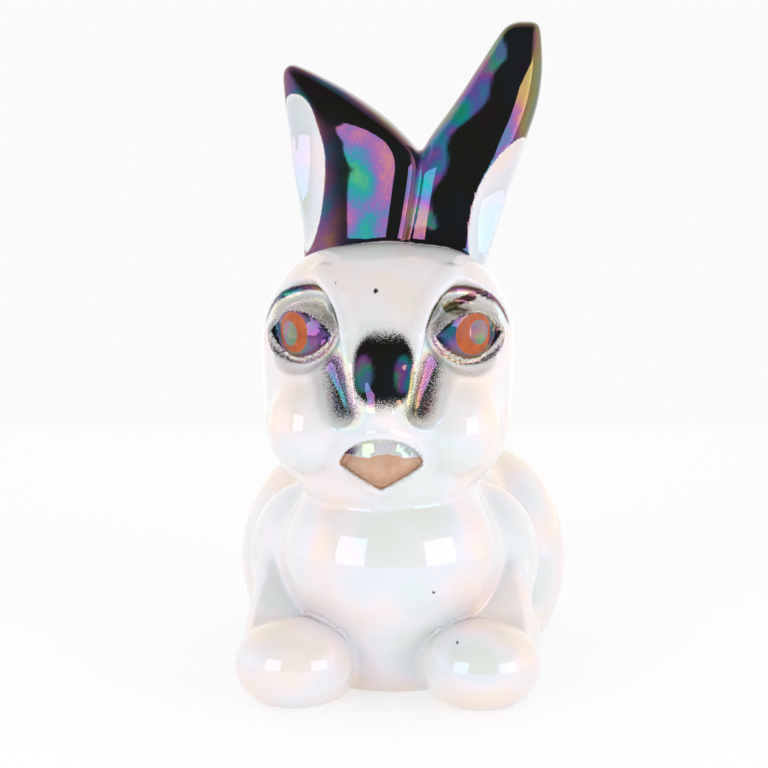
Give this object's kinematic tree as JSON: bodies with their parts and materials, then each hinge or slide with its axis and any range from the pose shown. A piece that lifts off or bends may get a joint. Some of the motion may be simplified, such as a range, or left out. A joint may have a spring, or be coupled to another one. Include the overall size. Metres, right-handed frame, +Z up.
{
  "type": "porcelain rabbit figurine",
  "caption": "Crouching glazed porcelain rabbit with its head up and cupped ears spread apart, standing on its flat underside as a small shelf ornament.",
  "frame": {"origin": "middle of the figure's box on the surface it stands on", "axes": "+Z up through the ears, -Y the way the rabbit faces, +X its left side"},
  "size_m": [0.069, 0.1124, 0.132],
  "materials": {
    "glazed_porcelain": "white porcelain under a clear lustre glaze with airbrushed black ears, eye surrounds and nose, an orange ring on each eye and a flesh-pink mouth"
  },
  "bodies": {
    "root": {"rabbit": "glazed_porcelain"}
  },
  "joints": []
}
